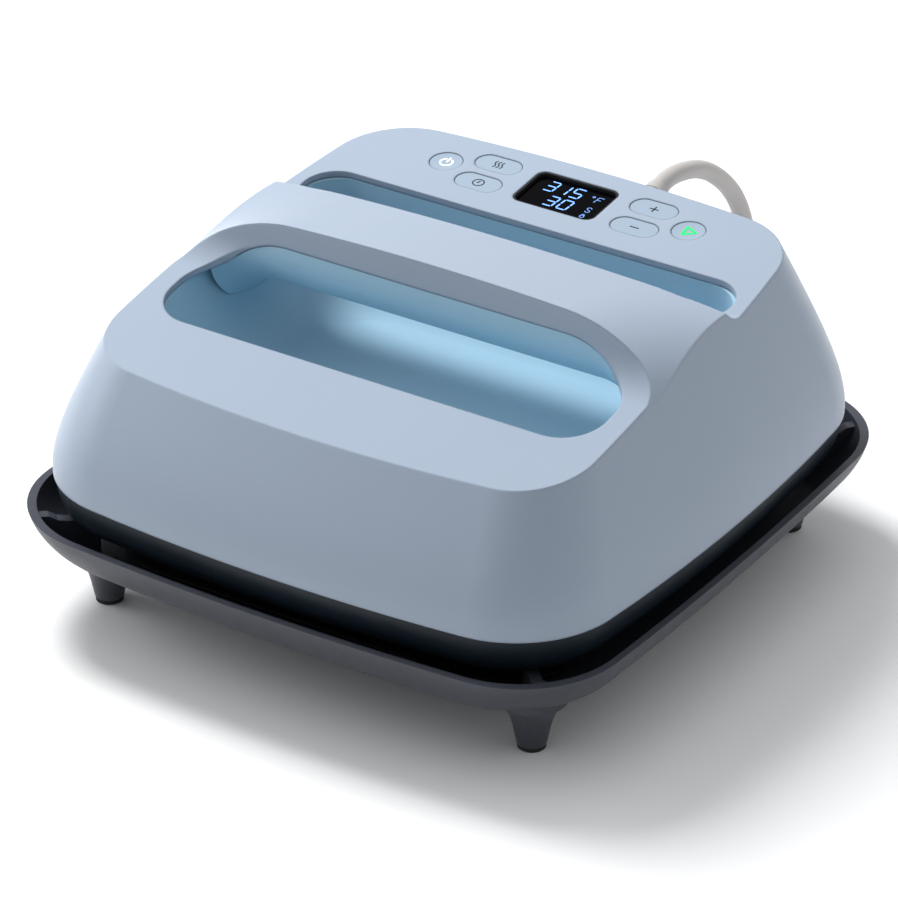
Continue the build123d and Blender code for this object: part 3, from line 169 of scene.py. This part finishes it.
def sparkle(name, colour, rough, grain, depth, fleck):
    """Textured plastic with tiny pale flecks where the grain's tips catch the light."""
    graph = Graph(name)
    tips = graph.noise(grain, 2.0, 0.7)
    tone = graph.blend(graph.spread(tips, 0.0, 1.0, 0.50, 0.78), colour, shade(colour, fleck))
    # painted highlight: convex edges lightened towards 1.9 times the colour
    graph.feed("Base Color", graph.painted_edge_highlight(tone, shade(colour, 1.9), 0.35))
    graph.feed("Roughness", graph.spread(graph.noise(90.0), rough - 0.04, rough + 0.05))
    graph.bump(tips, 0.5, depth)
    return graph.material


def metal(name, colour, rough, grain, stretch):
    """Drawn or plated metal with directional scratches."""
    graph = Graph(name)
    lines = graph.noise(grain, 4.0, 0.6, stretch)
    graph.feed("Base Color", graph.blend(lines, shade(colour, 0.94), shade(colour, 1.06)))
    graph.feed("Roughness", graph.spread(lines, rough - 0.06, rough + 0.10))
    graph.set(Metallic=1.0)
    graph.bump(lines, 0.25, 0.00002)
    return graph.material


def fibre(name, colour):
    """Needled ceramic blanket."""
    graph = Graph(name)
    strands = graph.noise(700.0, 6.0, 0.75, (1.0, 0.2, 1.0))
    graph.feed("Base Color", graph.blend(strands, shade(colour, 0.8), colour))
    graph.set(Roughness=0.95, Sheen_Weight=0.3)
    graph.bump(strands, 0.8, 0.0006)
    return graph.material


def circuit(name, colour):
    """Solder mask over copper, with the tracks showing through."""
    graph = Graph(name)
    tracks = graph.cells(320.0)
    graph.feed("Base Color", graph.blend(graph.spread(tracks, 0.0, 1.0, 0.25, 0.32), shade(colour, 1.9), colour))
    graph.set(Roughness=0.35, Coat_Weight=0.3)
    graph.bump(tracks, 0.15, 0.00005)
    return graph.material


def glow(name, colour, strength):
    """Lit figure or icon, a little uneven like a light guide."""
    graph = Graph(name)
    uneven = graph.noise(500.0)
    graph.feed("Base Color", graph.blend(uneven, shade(colour, 0.9), colour))
    graph.feed("Emission Color", graph.blend(uneven, shade(colour, 0.85), colour))
    graph.set(Emission_Strength=strength, Roughness=0.4)
    return graph.material


SHELL_BLUE = (0.322, 0.383, 0.472)
INNER_BLUE = (0.355, 0.545, 0.67)
materials = {
    "shell_blue": moulded("shell_blue", SHELL_BLUE, 0.34, 260.0, 0.000004, contrast=0.012,
                          edge_radius=0.0016, specular=0.28),
    "inner_blue": moulded("inner_blue", INNER_BLUE, 0.52, 1400.0, 0.00004, contrast=0.02),
    "button_blue": moulded("button_blue", (0.30, 0.375, 0.465), 0.34, 1200.0, 0.00001, contrast=0.012),
    "navy_black": moulded("navy_black", (0.007, 0.013, 0.020), 0.34, 1100.0, 0.00002, contrast=0.10,
                          specular=0.3),
    "charcoal": sparkle("charcoal", (0.035, 0.039, 0.052), 0.46, 1500.0, 0.00008, 1.7),
    "black_plastic": moulded("black_plastic", (0.012, 0.012, 0.013), 0.5, 1300.0, 0.00004, contrast=0.1),
    "window_black": moulded("window_black", (0.0012, 0.0012, 0.0018), 0.12, 100.0, 0.000002, contrast=0.1,
                            specular=0.02),
    "rubber_black": sparkle("rubber_black", (0.011, 0.011, 0.011), 0.8, 1800.0, 0.00006, 1.5),
    "coated_plate": sparkle("coated_plate", (0.055, 0.055, 0.06), 0.42, 2400.0, 0.00005, 2.2),
    "steel": metal("steel", (0.60, 0.60, 0.61), 0.30, 900.0, (1.0, 0.05, 1.0)),
    "aluminium": metal("aluminium", (0.78, 0.79, 0.80), 0.34, 800.0, (0.05, 1.0, 1.0)),
    "brass": metal("brass", (0.80, 0.58, 0.27), 0.26, 700.0, (0.1, 1.0, 1.0)),
    "blanket_white": fibre("blanket_white", (0.80, 0.78, 0.72)),
    "board_green": circuit("board_green", (0.012, 0.10, 0.045)),
    "relay_blue": moulded("relay_blue", (0.02, 0.09, 0.36), 0.35, 900.0, 0.00002, contrast=0.06),
    "led_clear": glow("led_clear", (0.80, 0.90, 0.80), 0.3),
    "cord_grey": moulded("cord_grey", (0.47, 0.445, 0.43), 0.50, 1500.0, 0.00006, contrast=0.03),
    "wire_red": moulded("wire_red", (0.42, 0.02, 0.015), 0.4, 1500.0, 0.00003, contrast=0.05),
    "wire_white": moulded("wire_white", (0.70, 0.70, 0.68), 0.45, 1500.0, 0.00003, contrast=0.04),
    "core_grey": sparkle("core_grey", (0.13, 0.135, 0.15), 0.55, 1300.0, 0.00008, 1.5),
}
SLOT_OF = {entry["node"]: entry["material_slot"] for entry in frame["record"]["subparts"]}
for node_name, slot_name in SLOT_OF.items():
    owner = nodes[node_name]
    owner.data.materials.clear()
    owner.data.materials.append(materials[slot_name])

ICON_DARK = moulded("icon_ink", (0.022, 0.035, 0.048), 0.45, 1800.0, 0.00001, contrast=0.05)
ICON_WHITE = glow("icon_white", (1.0, 1.0, 1.0), 1.1)
ICON_GREEN = glow("icon_green", (0.0, 0.62, 0.12), 0.70)
FIGURE_BLUE = glow("figure_blue", (0.16, 0.36, 0.92), 1.25)
FIGURE_DIM = glow("figure_dim", (0.16, 0.34, 0.80), 0.45)


# ---------------------------------------------------------------- icons and figures
ROUND_TIP = ((1.0, 0.05), (0.87, 0.5), (0.5, 0.87))
POINTED_TIP = ((1.0, 0.08),)


def stations(points, closed, half, tip):
    """Centre points with their half widths; open strokes get a tip at each end."""
    line = [(Vector(point), half) for point in points]
    if closed:
        return line
    back = (line[0][0] - line[1][0]).normalized()
    ahead = (line[-1][0] - line[-2][0]).normalized()
    start = [(line[0][0] + back * half * reach, half * share) for reach, share in tip]
    end = [(line[-1][0] + ahead * half * reach, half * share) for reach, share in reversed(tip)]
    return start + line + end


def surface_of(owner):
    """Function giving the height of a node's surface over the deck plane, in millimetres."""
    corners = [owner.matrix_world @ vertex.co for vertex in owner.data.vertices]
    faces = [face.vertices[:] for face in owner.data.polygons]
    tree = BVHTree.FromPolygons(corners, faces)
    down = DECK.to_3x3() @ Vector((0, 0, -1))
    to_deck = DECK.inverted()

    def height(spot):
        start = DECK @ Vector((spot.x * MM, spot.y * MM, 0.01))
        hit = tree.ray_cast(start, down)[0]
        return (to_deck @ hit).z / MM

    return height


def ribbon(builder, line, closed, thickness, height):
    """Flat bar of changing width along a line, with mitred corners, laid on a surface."""
    count = len(line)
    hoops = []
    for k, (here, half) in enumerate(line):
        before = line[k - 1][0] if closed or k > 0 else None
        after = line[(k + 1) % count][0] if closed or k < count - 1 else None
        into = (here - before).normalized() if before is not None else (after - here).normalized()
        out = (after - here).normalized() if after is not None else into
        along = (into + out).normalized()
        side = Vector((-along.y, along.x))
        reach = half / max(0.4, side.dot(Vector((-into.y, into.x))))
        left = here + side * reach
        right = here - side * reach
        low = max(height(left), height(right)) + PRINT_LIFT
        corners = [(left, low), (right, low), (right, low + thickness), (left, low + thickness)]
        hoops.append([builder.verts.new((spot.x * MM, spot.y * MM, level * MM)) for spot, level in corners])
    for k in range(count if closed else count - 1):
        first = hoops[k]
        second = hoops[(k + 1) % count]
        for n in range(4):
            builder.faces.new((first[n], second[n], second[(n + 1) % 4], first[(n + 1) % 4]))
    if not closed:
        builder.faces.new(hoops[0])
        builder.faces.new(reversed(hoops[-1]))


def printed(name, strokes, width, material, body, owner, tip=ROUND_TIP, thickness=0.04):
    """Printed strokes on a node under the deck plane; points are (x, y) in millimetres."""
    builder = bmesh.new()
    height = surface_of(nodes[owner])
    for points, closed in strokes:
        ribbon(builder, stations(points, closed, width / 2, tip), closed, thickness, height)
    bmesh.ops.recalc_face_normals(builder, faces=builder.faces)
    mesh = bpy.data.meshes.new(name)
    builder.to_mesh(mesh)
    builder.free()
    mesh.transform(DECK)
    mesh.materials.append(material)
    piece = bpy.data.objects.new(name, mesh)
    bpy.context.scene.collection.objects.link(piece)
    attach(piece, body)


def arc(cx, cy, radius, start, end, steps=40):
    points = []
    for k in range(steps + 1):
        angle = math.radians(start + (end - start) * k / steps)
        points.append((cx + radius * math.cos(angle), cy + radius * math.sin(angle)))
    return points


def ring(cx, cy, radius):
    return arc(cx, cy, radius, 0, 360, 48)[:-1], True


def power_icon():
    circle = (arc(-ROUND_X, 0, 2.8, 120, 420), False)
    bar = ([(-ROUND_X, 0.5), (-ROUND_X, 3.6)], False)
    printed("power_icon", [circle, bar], 0.62, ICON_WHITE, "power_button_body", "power_button")


def start_icon():
    """Triangle pointing right, with each corner rounded by a short curve."""
    corners = [(-2.0, 3.0), (-1.7, -3.3), (3.7, 0.2)]
    rounding = 0.8
    steps = 6
    outline = []
    for k in range(3):
        here = Vector(corners[k])
        before = (Vector(corners[k - 1]) - here).normalized()
        after = (Vector(corners[(k + 1) % 3]) - here).normalized()
        for step in range(steps + 1):
            share = step / steps
            point = here + before * rounding * (1 - share) ** 2 + after * rounding * share**2
            outline.append((ROUND_X + point.x, point.y))
    printed("start_icon", [(outline, True)], 1.15, ICON_GREEN, "start_button_body", "start_button")


def timer_icon():
    centre = (-PILL_X, -PILL_Y - 0.1)
    long_hand = ([centre, (-PILL_X + 0.1, -PILL_Y + 1.5)], False)
    short_hand = ([centre, (-PILL_X - 0.7, -PILL_Y - 0.1)], False)
    clock = [ring(-PILL_X, -PILL_Y, 2.55), long_hand, short_hand]
    printed("timer_icon", clock, 0.6, ICON_DARK, "timer_button_body", "timer_button")


def temperature_icon():
    """Three rising waves of heat."""
    height = 4.6
    swing = 0.55
    steps = 24
    waves = []
    for offset in (-1.75, 0.0, 1.75):
        line = []
        for k in range(steps + 1):
            share = k / steps
            x = -PILL_X + offset + swing * math.sin(share * 2 * math.pi)
            line.append((x, PILL_Y + height * (share - 0.5)))
        waves.append((line, False))
    printed("temperature_icon", waves, 0.62, ICON_DARK, "temperature_button_body", "temperature_button")


def plus_and_minus_icons():
    arm = 1.9
    stroke = 0.7
    upright = ([(PILL_X, PILL_Y - arm), (PILL_X, PILL_Y + arm)], False)
    for y, extra, button in ((PILL_Y, [upright], "plus"), (-PILL_Y, [], "minus")):
        bar = ([(PILL_X - arm, y), (PILL_X + arm, y)], False)
        printed(button + "_icon", [bar] + extra, stroke, ICON_DARK, button + "_button_body", button + "_button")


SEGMENTS = {"0": "abcdef", "1": "bc", "3": "abcdg", "5": "acdfg"}
DIGIT_W = 4.6
DIGIT_H = 7.5
LEAN = 0.10
COLUMN_X = (-11.0, -4.9, 2.1)
TOP_ROW_Y = 6.3
LOW_ROW_Y = -4.1


def digit(cx, cy, figure):
    """Seven-segment figure made of separate bars, leaning slightly."""
    half_w = DIGIT_W / 2
    half_h = DIGIT_H / 2
    gap = 0.55
    bars = {
        "a": ((-half_w + gap, half_h), (half_w - gap, half_h)),
        "b": ((half_w, half_h - gap), (half_w, gap)),
        "c": ((half_w, -gap), (half_w, -half_h + gap)),
        "d": ((-half_w + gap, -half_h), (half_w - gap, -half_h)),
        "e": ((-half_w, -gap), (-half_w, -half_h + gap)),
        "f": ((-half_w, half_h - gap), (-half_w, gap)),
        "g": ((-half_w + gap, 0), (half_w - gap, 0)),
    }
    strokes = []
    for key in SEGMENTS[figure]:
        strokes.append(([(cx + x + LEAN * y, cy + y) for x, y in bars[key]], False))
    return strokes


def display_figures():
    """Temperature on the first row and time on the second, ending in the same column."""
    strokes = []
    for row_y, figures in ((TOP_ROW_Y, "315"), (LOW_ROW_Y, "30")):
        for x, figure in zip(COLUMN_X[-len(figures):], figures):
            strokes += digit(x, row_y, figure)
    printed("display_figures", strokes, 0.72, FIGURE_BLUE, "press", "display_window", POINTED_TIP)


def display_units():
    """Small dim signs right of the figures: degrees, seconds and a closed symbol."""
    degrees = [ring(10.0, 7.2, 0.5), ([(11.9, 3.5), (12.4, 7.8)], False)]
    degrees += [([(12.4, 7.8), (14.7, 7.8)], False), ([(12.15, 5.7), (14.0, 5.7)], False)]
    seconds = (arc(13.3, -2.1, 1.0, 20, 270, 16) + arc(13.3, -4.1, 1.0, 90, -160, 16)[1:], False)
    symbol = [ring(13.3, -8.7, 0.95), (arc(13.3, -7.7, 0.65, 0, 180, 12), False)]
    strokes = degrees + [seconds] + symbol
    printed("display_units", strokes, 0.38, FIGURE_DIM, "press", "display_window")


power_icon()
start_icon()
timer_icon()
temperature_icon()
plus_and_minus_icons()
display_figures()
display_units()

# ---------------------------------------------------------------- floor
FLOOR_Z = cad_box[0][2]
floor_mesh = bpy.data.meshes.new("floor")
builder = bmesh.new()
bmesh.ops.create_grid(builder, x_segments=8, y_segments=8, size=6.0)
builder.to_mesh(floor_mesh)
builder.free()
floor = bpy.data.objects.new("floor", floor_mesh)
floor.location = (0, 0, FLOOR_Z - 0.0002)
bpy.context.scene.collection.objects.link(floor)
floor_look = Graph("floor_paper")
floor_look.feed("Base Color", floor_look.blend(floor_look.noise(3.0), (0.90, 0.90, 0.90), (0.91, 0.91, 0.91)))
floor_look.set(Roughness=0.9)
floor_mesh.materials.append(floor_look.material)

# ---------------------------------------------------------------- light
WORLD_BRIGHT = 0.75
WORLD_DARK = 0.12
DARK_SIDE = (0.66, -0.72, 0.20)      # the side of the room behind the camera is dimmer
world = bpy.data.worlds.new("studio")
bpy.context.scene.world = world
world.use_nodes = True
sky = world.node_tree
background = sky.nodes["Background"]
background.inputs["Color"].default_value = (0.975, 0.99, 1.0, 1.0)
facing = sky.nodes.new("ShaderNodeVectorMath")
facing.operation = "DOT_PRODUCT"
facing.inputs[1].default_value = DARK_SIDE
fade = sky.nodes.new("ShaderNodeMapRange")
fade.inputs["From Min"].default_value = 0.45
fade.inputs["From Max"].default_value = 1.0
fade.inputs["To Min"].default_value = WORLD_BRIGHT
fade.inputs["To Max"].default_value = WORLD_DARK
sky.links.new(sky.nodes.new("ShaderNodeTexCoord").outputs["Generated"], facing.inputs[0])
sky.links.new(facing.outputs["Value"], fade.inputs["Value"])
sky.links.new(fade.outputs["Result"], background.inputs["Strength"])


def soft_box(name, place, aim, size, power, mirrored):
    """Rectangular studio light pointing at a spot; mirrored ones show up as highlights."""
    lamp = bpy.data.lights.new(name, "AREA")
    lamp.shape = "RECTANGLE"
    lamp.size = size[0]
    lamp.size_y = size[1]
    lamp.energy = power
    holder = bpy.data.objects.new(name, lamp)
    holder.location = place
    holder.visible_glossy = mirrored
    direction = Vector(aim) - Vector(place)
    holder.rotation_euler = direction.to_track_quat("-Z", "Y").to_euler()
    bpy.context.scene.collection.objects.link(holder)


soft_box("key_light", (-1.22, 0.56, 1.75), (0, 0, 0.03), (0.75, 0.75), 51.0, False)
soft_box("left_light", (-1.9, -0.5, 0.9), (0, 0, 0.05), (1.0, 1.2), 9.0, True)

# ---------------------------------------------------------------- camera, at the photograph's angle
CAMERA_AZIMUTH = math.radians(32.976)
CAMERA_ELEVATION = math.radians(29.343)
CAMERA_DISTANCE = 2.1399
TARGET = Vector((0.0, 0.0, 0.020))
away = Vector((
    math.sin(CAMERA_AZIMUTH) * math.cos(CAMERA_ELEVATION),
    -math.cos(CAMERA_AZIMUTH) * math.cos(CAMERA_ELEVATION),
    math.sin(CAMERA_ELEVATION),
))
camera_data = bpy.data.cameras.new("camera")
camera_data.sensor_width = 36.0
camera_data.lens = 200.445
camera_data.shift_x = -0.00445
camera_data.shift_y = -0.00929
camera = bpy.data.objects.new("camera", camera_data)
camera.location = TARGET + away * CAMERA_DISTANCE
camera.rotation_euler = (-away).to_track_quat("-Z", "Y").to_euler()
bpy.context.scene.collection.objects.link(camera)
bpy.context.scene.camera = camera
bpy.context.scene.view_settings.view_transform = "Standard"
